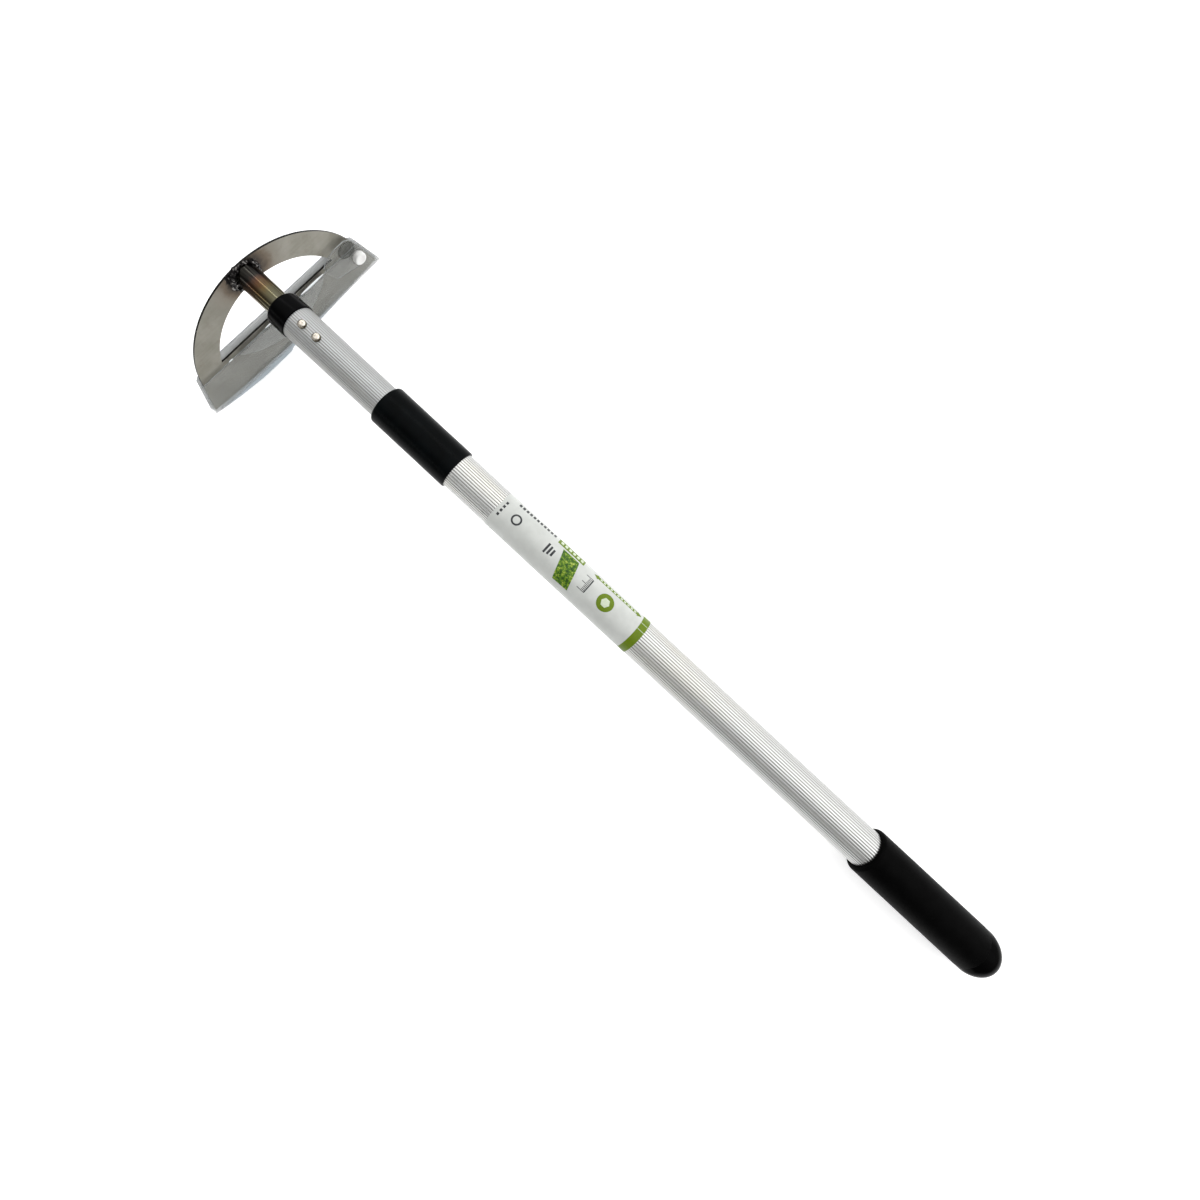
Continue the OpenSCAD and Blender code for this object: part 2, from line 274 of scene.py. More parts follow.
def moulded(name, dark, light, roughness, grain=1.6, depth=0.03, drawing=None, **sockets):
    """Moulded plastic or rubber: two close tones, and a fine grain in gloss and height."""
    p = Paint(name, **sockets)
    at = p.place(drawing or SHAFT)
    tone = p.noise(at, 0.12, 3.0)
    fine = p.noise(at, grain, 5.0, 0.65)
    p.colour(p.ramp(tone, [(0.35, dark), (0.7, light)]))
    p.rough(p.span(fine, 0.3, 0.7, roughness - 0.05, roughness + 0.06))
    p.bump(fine, depth)
    return p.material


def bare_metal(name, dark, light, roughness):
    """Uncoated small metal: two tones and an uneven gloss."""
    p = Paint(name, Metallic=1.0)
    at = p.place(SHAFT)
    p.colour(p.ramp(p.noise(at, 0.7, 4.0), [(0.3, dark), (0.7, light)]))
    p.rough(p.span(p.noise(at, 1.7), 0.3, 0.7, roughness - 0.06, roughness + 0.08))
    return p.material


def ink(name, dark, light):
    """Printed ink: slight unevenness under the film's own satin gloss."""
    p = Paint(name, Roughness=0.38, Specular_IOR_Level=0.25)
    tone = p.noise(p.place(SHAFT), 0.9, 3.0)
    p.colour(p.ramp(tone, [(0.3, dark), (0.7, light)]))
    return p.material


def grass_print():
    """A printed patch of mixed leaf greens."""
    p = Paint("grass_print", Roughness=0.38, Specular_IOR_Level=0.25)
    at = p.place(SHAFT)
    leaf = p.noise(at, 0.45, 6.0, 0.8)
    light = p.noise(at, 0.23, 3.0)
    greens = [
        (0.38, (0.006, 0.02, 0.003)),
        (0.47, (0.03, 0.1, 0.006)),
        (0.54, (0.12, 0.24, 0.012)),
        (0.6, (0.4, 0.44, 0.03)),
        (0.7, (0.6, 0.72, 0.5)),
    ]
    print_colour = p.mix(p.span(light, 0.35, 0.7, 0.0, 0.35), p.ramp(leaf, greens), (0.09, 0.2, 0.01))
    p.colour(print_colour)
    return p.material


def clear_sheet(name="clear_sheet", thin=0.16, thick=0.42):
    """Clear vinyl: a little grey face on, cloudier at grazing angles. Its fold is made paler, bluer and more
    opaque as a painted highlight, and its back flap more opaque grey as a painted reflection of darker
    surroundings.
    """
    p = Paint(name, Roughness=0.12, IOR=1.5)
    at = p.place(BLADE)
    _, height, out = p.axes(at)[:3]
    haze = p.noise(p.stretch(at, (0.02, 0.09, 0.1)), 1.0, 3.0)
    body = p.ramp(haze, [(0.3, (0.27, 0.28, 0.265)), (0.7, (0.36, 0.37, 0.355))])
    # Painted highlight: the fold band is made paler, bluer and more opaque.
    fold_painted_highlight = p.span(height, -82.0, -86.5)
    # Painted reflection: the back flap is made more opaque grey.
    back_painted_reflection = p.span(out, -1.8, -2.8)
    body = p.mix(back_painted_reflection, body, (0.33, 0.345, 0.345))
    p.colour(p.mix(fold_painted_highlight, body, (0.42, 0.48, 0.52)))
    rim = p.node("LayerWeight", {"Blend": 0.35}).outputs["Facing"]
    alpha = p.math("ADD", p.span(rim, 0.2, 0.9, thin, thick), p.span(haze, 0.35, 0.75, 0.0, 0.1))
    painted_extra_alpha = p.math("MAXIMUM", p.math("MULTIPLY", fold_painted_highlight, 0.38), p.math("MULTIPLY", back_painted_reflection, 0.4))
    p.feed(p.math("ADD", alpha, painted_extra_alpha), p.shader.inputs["Alpha"])
    p.bump(p.noise(at, 0.12, 2.0), 0.25)
    return p.material


def cut_edge():
    """The sheet's cut edge, which gathers light."""
    p = Paint("sheet_cut_edge", Roughness=0.2, Alpha=0.75)
    tone = p.noise(p.place(BLADE), 0.08, 2.0)
    p.colour(p.ramp(tone, [(0.35, (0.2, 0.215, 0.22)), (0.65, (0.55, 0.58, 0.6))]))
    return p.material


# --- Mesh helpers ---


def finish_mesh(name, bm, drawing, material, body, node=None, sharp=32):
    """Turns a bmesh drawn in a drawing frame into a piece that rides on a body."""
    bm.transform(drawing)
    bmesh.ops.recalc_face_normals(bm, faces=bm.faces)
    mesh = bpy.data.meshes.new(name)
    bm.to_mesh(mesh)
    bm.free()
    mesh.shade_smooth()
    mesh.set_sharp_from_angle(angle=math.radians(sharp))
    piece = bpy.data.objects.new(name, mesh)
    bpy.context.scene.collection.objects.link(piece)
    mesh.materials.append(material)
    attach(piece, body)
    if node:
        for one in [node] if isinstance(node, str) else node:
            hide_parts(one)
    return piece


def skin(bm, rings, closed=True, around=True):
    """Joins equal rings of points with quads; closed joins the last ring to the first."""
    rows = [[bm.verts.new(p) for p in ring] for ring in rings]
    count = len(rows[0])
    for a, b in zip(rows, rows[1:] + ([rows[0]] if closed else [])):
        for i in range(count if around else count - 1):
            j = (i + 1) % count
            bm.faces.new((a[i], a[j], b[j], b[i]))
    return rows


def fillet(points, radii, steps=6):
    """An outline whose corners are rounded by the radii given, one for each point."""
    out = []
    count = len(points)
    for i, (point, radius) in enumerate(zip(points, radii)):
        if not radius:
            out.append(point)
            continue
        p, a, b = Vector(point), Vector(points[i - 1]), Vector(points[(i + 1) % count])
        u, v = (a - p).normalized(), (b - p).normalized()
        half = u.angle(v) / 2
        centre = p + (u + v).normalized() * (radius / math.sin(half))
        start, end = p + u * (radius / math.tan(half)), p + v * (radius / math.tan(half))
        for k in range(steps + 1):
            spoke = (start - centre).slerp(end - centre, k / steps)
            out.append(tuple(centre + spoke.normalized() * radius))
    return out


def turn(outline, around=128, wobble=None):
    """Revolves a closed outline of (station, radius) points about the shaft."""
    bm = bmesh.new()
    rings = []
    for x, r in outline:
        ring = []
        for i in range(around):
            a = math.tau * i / around
            radius = r + (wobble(x, a) if wobble else 0.0)
            ring.append((x, radius * math.sin(a), radius * math.cos(a)))
        rings.append(ring)
    skin(bm, rings)
    bmesh.ops.remove_doubles(bm, verts=bm.verts, dist=1e-5)
    return bm


def ribbed(x0, x1, radius, bore):
    """A tube whose outside has rounded ribs; its groove faces use the second material, which paints shade
    into the grooves.
    """
    groove = [(-0.5, 1.0), (-0.4, 0.8), (-0.31, 0.3), (-0.2, 0.07), (0.0, 0.0)]
    groove += [(-u, d) for u, d in reversed(groove[1:-1])]
    outside, inside = [], []
    for rib in range(RIBS):
        for share, depth in groove:
            a = math.tau * (rib + share) / RIBS
            r = radius - RIB_DEPTH * depth
            outside.append((r * math.sin(a), r * math.cos(a)))
            inside.append((bore * math.sin(a), bore * math.cos(a)))
    rings = [[(x, y, z) for y, z in ring] for x, ring in
             ((x0, inside), (x0, outside), (x1, outside), (x1, inside))]
    bm = bmesh.new()
    skin(bm, rings)
    for face in bm.faces:
        _, y, z = face.calc_center_median()
        share = (math.atan2(y, z) * RIBS / math.tau + 0.5) % 1.0
        on_outside = abs(face.normal.x) < 0.5 and math.hypot(y, z) > radius - 1.5 * RIB_DEPTH
        face.material_index = int(on_outside and min(share, 1 - share) < 0.16)
    return bm


def dome(bm, centre, radius, height, lift=0.0, rings=10, around=40):
    """A closed button: flat below, domed above, standing on local z."""
    rows = [[(centre[0], centre[1], lift)] * around]
    for k in range(rings + 1):
        a = math.pi / 2 * k / rings
        r, h = radius * math.cos(a), height * math.sin(a)
        rows.append([(centre[0] + r * math.cos(math.tau * i / around),
                      centre[1] + r * math.sin(math.tau * i / around), lift + h)
                     for i in range(around)])
    skin(bm, rows, closed=False)
    bmesh.ops.remove_doubles(bm, verts=bm.verts, dist=1e-5)


def repaint(node, material):
    """Gives a CAD node this one material."""
    NODES[node].data.materials.clear()
    NODES[node].data.materials.append(material)


# --- Head: plate, weld, pipe, collar, rivets ---


def blade():
    """The CAD plate, with its rims softened and its cut rim in a darker steel."""
    repaint("blade", plate_steel())
    node = NODES["blade"]
    node.data.materials.append(rim_steel())
    out = UP_BLADE.cross(ACROSS).normalized()
    for face in node.data.polygons:
        face.material_index = int(abs(face.normal.dot(out)) < 0.5)
    soften(node, 0.18)


def soften(node, width):
    """Rounds a CAD node's sharp edges a little, as a modifier, so that they catch light."""
    edge = node.modifiers.new("soft_edge", "BEVEL")
    edge.width = width * MM
    edge.segments = 2
    edge.limit_method = "ANGLE"
    edge.angle_limit = math.radians(40)
    edge.harden_normals = True
    node.data.shade_smooth()
    node.data.set_sharp_from_angle(angle=math.radians(30))


ARCH_RIM = (-72.1, 81.6)  # height of the arch's centre and its radius
ARCH_WINDOW = (-71.4, 63.2)


def on_arch(x, y):
    """Whether a point of the plate lies on the arch between its rim and its window."""
    (rim_y, rim_r), (window_y, window_r) = ARCH_RIM, ARCH_WINDOW
    return math.hypot(x, y - rim_y) <= rim_r and math.hypot(x, y - window_y) >= window_r


def weld():
    """Uneven bead round the pipe, fatter on the two sides, and spatter on the plate."""
    metal = fused_weld()
    bm = bmesh.new()
    steps, sides = 160, 14
    rings = []
    for i in range(steps):
        a = math.tau * i / steps
        side = abs(math.cos(a))
        fat = 0.8 + 1.3 * side**1.5
        fat *= 1 + 0.75 * max(0.0, math.cos(a - math.radians(140)))
        fat *= 1 + 0.55 * noise.noise(Vector((math.cos(a) * 2.2, math.sin(a) * 2.2, 5)))
        centre = Vector((math.cos(a), math.sin(a) / math.sin(math.radians(83)), 0))
        centre = centre * (PIPE_R + 0.35 * fat)
        spoke = Vector((math.cos(a), math.sin(a), 0))
        ring = []
        for k in range(sides):
            b = math.tau * k / sides
            lump = 1 + 0.6 * noise.noise(Vector((i * 0.13, 3 * math.cos(b), 3 * math.sin(b))))
            ring.append(centre + spoke * fat * lump * math.cos(b)
                        + Vector((0, 0, fat * lump * math.sin(b) + 0.2)))
        rings.append(ring)
    skin(bm, rings)
    finish_mesh("weld_ripples", bm, BLADE, metal, "shaft", "weld_bead", 60)
    rng = random.Random(11)
    drops = bmesh.new()
    for _ in range(60):
        a = rng.choice((0.2, math.pi - 0.2, math.pi - 0.2)) + rng.gauss(0.0, 0.5)
        reach = PIPE_R + 1.2 + abs(rng.gauss(0.0, 1.6))
        x, y = reach * math.cos(a), reach * math.sin(a)
        if not on_arch(x, y):
            continue
        size = rng.uniform(0.25, 0.9)
        dome(drops, (x, y), size, size * 0.7, rings=4, around=10)
    finish_mesh("weld_spatter", drops, BLADE, metal, "shaft", None, 80)


def pipe():
    """The CAD pipe, in heat-tinted steel."""
    repaint("tang_pipe", tinted_pipe())
    mesh = NODES["tang_pipe"].data
    mesh.shade_smooth()
    mesh.set_sharp_from_angle(angle=math.radians(35))


def collar():
    """Moulded end collar with a soft shoulder."""
    x0, x1 = COLLAR
    r, plug_r = INNER_R + 0.85, INNER_R - 1.15
    outline = [(x0, PIPE_R), (x0, PIPE_R + 1.5), (x0, r), (x1, r), (x1, INNER_R), (x1 - COLLAR_LAP, INNER_R),
               (x1 - COLLAR_LAP, plug_r), (x1 + SPIGOT, plug_r), (x1 + SPIGOT, PIPE_R)]
    radii = [0, 0, 2.3, 0.5, 0, 0, 0, 0, 0]
    black = moulded("collar_black", (0.0005, 0.0005, 0.0006), (0.001, 0.001, 0.0012), 0.2, 0.3, 0.01,
                    Specular_IOR_Level=0.035)
    finish_mesh("collar_shell", turn(fillet(outline, radii)), SHAFT, black, "shaft", "head_collar")


def rivets():
    """Domed blind rivets, each with the broken stem showing in its middle."""
    # Painted light and shade: the crown takes the lighter metal, the rim and sides a darker copy of it.
    warm = bare_metal("rivet_crown_painted_light", (0.5, 0.45, 0.38), (0.75, 0.7, 0.62), 0.12)
    rim_shade_paint = bare_metal("rivet_rim_painted_shade", (0.09, 0.078, 0.058), (0.2, 0.18, 0.14), 0.12)
    stem = bare_metal("stem_metal", (0.25, 0.24, 0.23), (0.5, 0.49, 0.47), 0.35)
    for x, node in zip(RIVETS, ("rivet_front", "rivet_rear")):
        r, high, z = 3.2, 2.7, INNER_R - 0.25
        rows = [(0.0, 7.0), (1.6, 7.0), (1.6, z), (r - 0.35, z), (r, z + 0.12), (r, z + 0.42)]
        for k in range(1, 9):
            a = math.pi / 2 * k / 9
            rows.append((0.85 + (r - 0.85) * math.cos(a), z + 0.42 + (high - 0.42) * math.sin(a)))
        rows += [(0.85, z + high), (0.78, z + high - 0.12), (0.0, z + high - 0.16)]
        bm = bmesh.new()
        around = 48
        skin(bm, [[(x + rr * math.cos(math.tau * i / around), rr * math.sin(math.tau * i / around), h)
                   for i in range(around)] for rr, h in rows], closed=False)
        bmesh.ops.remove_doubles(bm, verts=bm.verts, dist=1e-5)
        for face in bm.faces:
            # Faces in the dome's top three tenths are painted lit, all lower faces painted shade.
            face.material_index = int(face.calc_center_median().z < z + 0.7 * high)
        piece = finish_mesh(node + "_head", bm, SHAFT, warm, "shaft", node, 50)
        piece.data.materials.append(rim_shade_paint)
    for node in ("mandrel_front", "mandrel_rear"):
        repaint(node, stem)


# --- Handle ---


def tubes():
    # The darker aluminium on the groove faces is painted shade between the ribs.
    groove = aluminium("groove_painted_shade_aluminium", (0.27, 0.268, 0.255))
    dull = aluminium("inner_aluminium", (0.43, 0.44, 0.445))
    bright = aluminium("outer_aluminium", (0.66, 0.665, 0.655))
    inner = ribbed(COLLAR[1] - COLLAR_LAP, INNER_END, INNER_R, INNER_R - 1.1)
    outer = ribbed(*OUTER, OUTER_R, INNER_R + 0.22)
    kinds = ((inner, "shaft", "inner_tube", dull), (outer, "handle", "outer_tube", bright))
    for bm, body, node, metal in kinds:
        piece = finish_mesh(node + "_ribs", bm, SHAFT, metal, body, node, 60)
        piece.data.materials.append(groove)


def middle_sleeve():
    """Shrunk-on sleeve: soft front shoulder, lip over the tube's mouth, gate mark."""
    x0, x1 = SLEEVE
    bore, lip = INNER_R + 0.45, SLEEVE_LIP
    outline = [(x0, bore), (x0, SLEEVE_R), (x1, SLEEVE_R), (x1, OUTER_R), (lip, OUTER_R), (lip, bore)]
    radii = [0.0, 2.0, 0.9, 0.0, 0.0, 0.0]
    satin = moulded("sleeve_satin", (0.0005, 0.0009, 0.001), (0.0012, 0.002, 0.0024), 0.3, 0.35, 0.03,
                    Specular_IOR_Level=0.04)

    def sag(x, a):
        return 0.05 * math.sin(2 * a + x * 0.05) + 0.03 * math.sin(x * 0.21)

    points = fillet(outline, radii)
    long_run = []
    for p, q in zip(points, points[1:] + points[:1]):
        long_run.append(p)
        pieces = int(abs(q[0] - p[0]) / 8)
        long_run += [(p[0] + (q[0] - p[0]) * k / pieces, p[1]) for k in range(1, pieces)]
    finish_mesh("sleeve_shell", turn(long_run, 128, sag), SHAFT, satin, "handle", "mid_sleeve",
                40)
    mark = bmesh.new()
    dome(mark, (0, 0), 0.45, 0.22, rings=4, around=14)
    at = Matrix.Translation((186.0, 0, 0)) @ Matrix.Rotation(math.radians(-38), 4, "X")
    mark.transform(at @ Matrix.Translation((0, 0, SLEEVE_R - 0.05)))
    finish_mesh("sleeve_gate_mark", mark, SHAFT, satin, "handle", None)


def grip():
    """Rubber grip with a rolled mouth, and the smoother domed cap let into its end."""
    rubber = moulded("grip_rubber", (0.0006, 0.0006, 0.0006), (0.0014, 0.0014, 0.0014), 0.45, 0.5, 0.03,
                     Specular_IOR_Level=0.02)
    gloss = moulded("cap_rubber", (0.0006, 0.0006, 0.0006), (0.0012, 0.0012, 0.0012), 0.16, 0.3, 0.01,
                    Specular_IOR_Level=0.015)
    x0, x1 = GRIP
    outline = [(x0, OUTER_R), (x0, GRIP_R), (x1, GRIP_R), (x1, OUTER_R)]
    finish_mesh("grip_rubber_body", turn(fillet(outline, [1.2, 2.6, 0.35, 0.0], 8)), SHAFT, rubber,
                "handle", "end_grip", 40)
    arc_steps = 28
    cap = [(x1, 0.0), (x1, GRIP_R - 0.25), (DOME_X, GRIP_R - 0.05)]
    for k in range(1, arc_steps):
        a = math.pi / 2 * k / arc_steps
        cap.append((DOME_X + GRIP_R * math.sin(a), GRIP_R * math.cos(a)))
    cap.append((DOME_X + GRIP_R, 0.0))
    finish_mesh("cap_dome", turn(cap), SHAFT, gloss, "handle", "end_cap", 40)


# --- Label ---


def bar(x0, x1, v0, v1):
    return [(x0, v0), (x1, v0), (x1, v1), (x0, v1)]


def disc(x, v, r, steps=40):
    return [(x + r * math.cos(math.tau * i / steps), v + r * math.sin(math.tau * i / steps))
            for i in range(steps)]


def print_marks(name, shapes, lift, material):
    """Wraps flat shapes of (station, arc length) points round the film as thin solid ink."""
    bm = bmesh.new()
    for shape in shapes:
        bm.faces.new([bm.verts.new((x, v, 0.0)) for x, v in shape])
    cuts = range(-20, 21)
    for v in cuts:
        everything = bm.verts[:] + bm.edges[:] + bm.faces[:]
        bmesh.ops.bisect_plane(bm, geom=everything, plane_co=(0, v, 0), plane_no=(0, 1, 0))
    grown = bmesh.ops.extrude_face_region(bm, geom=bm.faces[:], use_keep_orig=True)
    for item in grown["geom"]:
        if isinstance(item, bmesh.types.BMVert):
            item.co.z = lift
    for vert in bm.verts:
        x, v, z = vert.co
        r = FILM_R - 0.01 + z
        vert.co = (x, r * math.sin(v / FILM_R), r * math.cos(v / FILM_R))
    finish_mesh(name, bm, SHAFT, material, "handle", None, 50)


def label():
    """Satin film round the tube, with plain generic marks in place of the printing."""
    x0, x1 = LABEL
    film = moulded("label_film", (0.5, 0.515, 0.49), (0.56, 0.575, 0.55), 0.36, 0.5, 0.015)
    outline = [(x0, OUTER_R - 0.02), (x0, FILM_R), (x1, FILM_R), (x1, OUTER_R - 0.02)]
    finish_mesh("label_wrap", turn(fillet(outline, [0, 0.1, 0.1, 0], 2), 160), SHAFT, film,
                "handle", "label", 40)
    green = ink("ink_green", (0.1, 0.165, 0.0005), (0.13, 0.2, 0.001))
    dark = ink("ink_dark", (0.02, 0.022, 0.025), (0.05, 0.052, 0.055))
    pale = ink("ink_pale_print_and_painted_highlight", (0.5, 0.57, 0.42), (0.6, 0.66, 0.52))
    white = ink("ink_white", (0.5, 0.515, 0.49), (0.56, 0.575, 0.55))

    dashes = [bar(240.6, 242.4, v, v + 1.9) for v in (-4.9, -1.6, 1.7, 5.0)]
    dashes += [bar(x, x + 1.9, 11.4 + (x - 248) * 0.06, 14.6 + (x - 248) * 0.06)
               for x in (248 + 3.1 * i for i in range(11))]
    blocks = [disc(253.6, 1.5, 3.9)]
    blocks += [bar(280.2 + 2.7 * i, 281.8 + 2.7 * i, -2.2 + i * 0.7, 5.6 - i * 0.7) for i in range(3)]
    ruler = [bar(318.9, 319.7, -3.9, 7.4)]
    ruler += [bar(313.2 if i % 5 == 0 else 316.2, 318.9, v, v + 0.45)
              for i, v in enumerate(-3.9 + 1.085 * k for k in range(11))]
    print_marks("label_marks_dark", dashes + blocks + ruler, 0.035, dark)

    arrow = [(317.0, 12.8), (320.6, 10.3), (320.6, 11.4), (356.6, 11.6), (356.6, 10.5),
             (360.3, 13.0), (356.6, 15.6), (356.6, 14.5), (320.6, 14.3), (320.6, 15.3)]
    box = bar(284.0, 307.6, 11.1, 17.6)
    stripe = bar(361.9, 368.0, -20.0, 20.0)
    print_marks("label_marks_green", [disc(334.8, 1.2, 6.3), arrow, box, stripe], 0.035, green)
    print_marks("label_marks_white", [disc(253.6, 1.5, 2.6)], 0.06, white)

    light = [disc(334.8, 1.2, 3.4, 6)]
    light += [bar(322.6 + 3.1 * i, 324.4 + 3.1 * i, 12.1, 13.7) for i in range(11)]
    light += [bar(286.0 + 3.6 * i, 288.2 + 3.6 * i, 12.6, 15.9) for i in range(6)]
    # Painted highlights: these two thin pale lines along the green band stand for the film's gloss lines
    # over the ribs; the other pale marks are print.
    light += [bar(361.9, 368.0, v, v + 0.35) for v in (3.4, 8.7)]
    print_marks("label_marks_pale_print_and_painted_highlights", light, 0.06, pale)
    patch = [(290.0, 9.8), (304.2, 9.9), (310.5, -11.3), (297.4, -11.8)]
    print_marks("label_grass", [patch], 0.04, grass_print())


# --- Clear cover and its snap ---

COVER_TOP_FRONT, COVER_TOP_BACK = 50.0, 41.5
SHEET_FRONT, SHEET_BACK = 1.6, -3.2
SHEET_T = 0.7
FOLD_R = 2.4
SIDE_SLOPE, SIDE_HALF, SIDE_DOWN = 0.339, 81.0, 48.2  # the sides spread from this half width
FOLD_PATH = ((-92, 84.4), (-82, 87.2), (-70, 90.0), (-50, 92.4), (-24, 92.9), (-15, 92.6), (-11, 90.3),
             (0, 89.4), (23, 88.3), (45, 86.4), (69, 84.9), (92, 84.2))
FOLD_HALF = 92


def cover_half_width(down):
    return SIDE_HALF + SIDE_SLOPE * (down - SIDE_DOWN)


def fold_at(w):
    """How far down the fold's outside runs: loose on one side of the pipe, tight on the other."""
    for (w0, q0), (w1, q1) in zip(FOLD_PATH, FOLD_PATH[1:]):
        if w <= w1:
            break
    share = min(max((w - w0) / (w1 - w0), 0.0), 1.0)
    return q0 + (q1 - q0) * share


def cover():
    """One sheet: front flap, round fold under the cutting edge, back flap."""
    vinyl = clear_sheet()
    columns, flap_rows, fold_rows = 140, 26, 14
    middle = (SHEET_FRONT + SHEET_BACK) / 2
    rings = []
    for i in range(columns + 1):
        share = -1 + 2 * i / columns
        ring = []

        def put(down, out):
            tuck = 3.6 * max(0.0, (down - 79.5) / 6) ** 2 if share < 0 else 0.0
            w = share * (cover_half_width(down) - tuck)
            swell = 0.28 * noise.noise(Vector((w * 0.045, down * 0.05, out * 0.2)))
            ring.append((w, -down, out + swell))

        fold = fold_at(share * FOLD_HALF) - FOLD_R - SHEET_T / 2
        for k in range(flap_rows):
            f = k / flap_rows
            lift = 0.35 * math.sin(math.pi * f)
            put(COVER_TOP_FRONT + (fold - COVER_TOP_FRONT) * f, SHEET_FRONT + lift)
        for k in range(fold_rows + 1):
            a = math.pi * k / fold_rows
            put(fold + FOLD_R * math.sin(a), middle + FOLD_R * math.cos(a))
        for k in range(1, flap_rows + 1):
            f = k / flap_rows
            top = COVER_TOP_BACK + 5.5 * min(max((abs(share) - 0.88) / 0.12, 0.0), 1.0) ** 2
            put(fold + (top - fold) * f, SHEET_BACK)
        rings.append(ring)
    bm = bmesh.new()
    skin(bm, rings, closed=False, around=False)
    piece = finish_mesh("cover_sheet", bm, BLADE, vinyl, "cover", "blade_cover", 60)
    thicken(piece)
    return vinyl


def lit_lip():
    """Pale rounded strips on stretches of the front flap's top edge, which stand for its highlights."""
    gloss = Paint("sheet_lip", Roughness=0.35)
    tone = gloss.noise(gloss.place(BLADE), 0.3, 2.0)
    gloss.colour(gloss.ramp(tone, [(0.3, (0.8, 0.84, 0.86)), (0.7, (0.93, 0.95, 0.96))]))
    up, out = -COVER_TOP_FRONT + 0.7, SHEET_FRONT + 0.3
    bm = bmesh.new()
    for w0, w1, half in ((-16.5, -9.5, 0.6), (21.0, 45.0, 1.0), (-54.0, -50.0, 0.6)):
        rings = []
        for k in range(25):
            f = k / 24
            r = half * (0.15 + 0.85 * math.sin(math.pi * f) ** 0.5)
            w = w0 + (w1 - w0) * f
            rings.append([(w, up + r * math.sin(b), out + 0.5 * r * math.cos(b))
                          for b in (math.tau * i / 12 for i in range(12))])
        rows = skin(bm, rings, closed=False)
        bm.faces.new(rows[0])
        bm.faces.new(rows[-1])
    finish_mesh("cover_lit_lip", bm, BLADE, gloss.material, "cover", None, 60)


def thicken(piece, thickness=SHEET_T):
    solid = piece.modifiers.new("sheet", "SOLIDIFY")
    solid.thickness = thickness * MM
    solid.offset = 0.0
    solid.use_even_offset = True
    solid.material_offset_rim = 1
    piece.data.materials.append(bpy.data.materials.get("sheet_cut_edge") or cut_edge())


def flat_sheet(name, outline, out, vinyl, body, node, thickness, radii=None):
    """A flat piece of the clear sheet, with rounded corners where radii are given."""
    if radii:
        outline = fillet(outline, radii, 8)
    bm = bmesh.new()
    bm.faces.new([bm.verts.new((x, y, out)) for x, y in outline])
    low = min(y for _, y in outline)
    high = max(y for _, y in outline)
    for k in range(1, 10):
        everything = bm.verts[:] + bm.edges[:] + bm.faces[:]
        at = low + (high - low) * k / 10
        bmesh.ops.bisect_plane(bm, geom=everything, plane_co=(0, at, 0), plane_no=(0, 1, 0))
    bmesh.ops.triangulate(bm, faces=bm.faces)
    piece = finish_mesh(name, bm, BLADE, vinyl, body, node, 60)
    thicken(piece, thickness)
    return piece


def tongue(vinyl):
    half, drop, top = 45.0, 22.0, -COVER_TOP_FRONT
    radius = (half * half + drop * drop) / (2 * drop)
    reach = math.asin(half / radius)
    outline = [(radius * math.sin(a), top - drop + radius - radius * math.cos(a))
               for a in (reach * (k / 24 - 1) for k in range(49))]
    flat_sheet("cover_tongue_sheet", outline, SHEET_FRONT + 0.85, vinyl, "cover", "cover_tongue", 0.4)


TAB_OUT = 3.45
SNAP = (76.0, -59.0)
RING = (70.1, -44.8)


def tab(vinyl):
    """Tab with a raised ring near its top."""
    outline = [(47.5, -52.0), (47.0, -44.0), (52.0, -38.5), (62.0, -36.0), (72.5, -36.0),
               (80.0, -43.0), (84.5, -56.0), (82.0, -67.0), (73.0, -68.5), (52.0, -62.5)]
    radii = [0, 2, 4, 8, 8, 7, 7, 6, 6, 1]
    film = clear_sheet("clear_tab", 0.08, 0.3)
    flat_sheet("tab_sheet", outline, TAB_OUT, film, "tab", "cover_tab", SHEET_T, radii)
    bm = bmesh.new()
    rings = []
    for i in range(72):
        a = math.tau * i / 72
        spoke = Vector((math.cos(a), math.sin(a), 0))
        centre = Vector((*RING, TAB_OUT + 0.5)) + spoke * 7.2
        rings.append([centre + spoke * 0.35 * math.cos(b) + Vector((0, 0, 0.5 * math.sin(b)))
                      for b in (math.tau * k / 12 for k in range(12))])
    skin(bm, rings)
    p = Paint("clear_ring", Roughness=0.2, Alpha=0.27)
    tone = p.noise(p.place(BLADE), 0.15, 2.0)
    p.colour(p.ramp(tone, [(0.35, (0.02, 0.022, 0.018)), (0.65, (0.11, 0.115, 0.1))]))
    finish_mesh("tab_ring", bm, BLADE, p.material, "tab", None, 60)
    boss = bmesh.new()
    dome(boss, RING, 6.9, 0.7, lift=TAB_OUT + SHEET_T / 2, rings=6)
    finish_mesh("tab_boss", boss, BLADE, p.material, "tab", None, 60)


def snap():
    white = moulded("snap_white", (0.68, 0.68, 0.665), (0.76, 0.76, 0.745), 0.3, 1.2, 0.02, BLADE)
    base = TAB_OUT + SHEET_T / 2
    r, high = 5.2, 4.25
    rows = [(3.0, base), (r - 0.1, base), (r, base + 0.4), (r, base + high - 0.9)]
    rows += [(r - 0.9 + 0.9 * math.cos(a), base + high - 0.9 + 0.9 * math.sin(a))
             for a in (math.pi / 2 * k / 6 for k in range(1, 7))]
    rows += [(3.1, base + high), (2.8, base + high - 0.25), (0.0, base + high - 0.3)]
    rows = [(0.0, base)] + rows
    bm = bmesh.new()
    around = 56
    skin(bm, [[(SNAP[0] + rr * math.cos(math.tau * i / around),
                SNAP[1] + rr * math.sin(math.tau * i / around), h) for i in range(around)]
              for rr, h in rows], closed=False)
    bmesh.ops.remove_doubles(bm, verts=bm.verts, dist=1e-5)
    finish_mesh("snap_cap_button", bm, BLADE, white, "tab", "snap_cap", 50)
    for node in ("snap_socket", "snap_stud"):
        repaint(node, white)


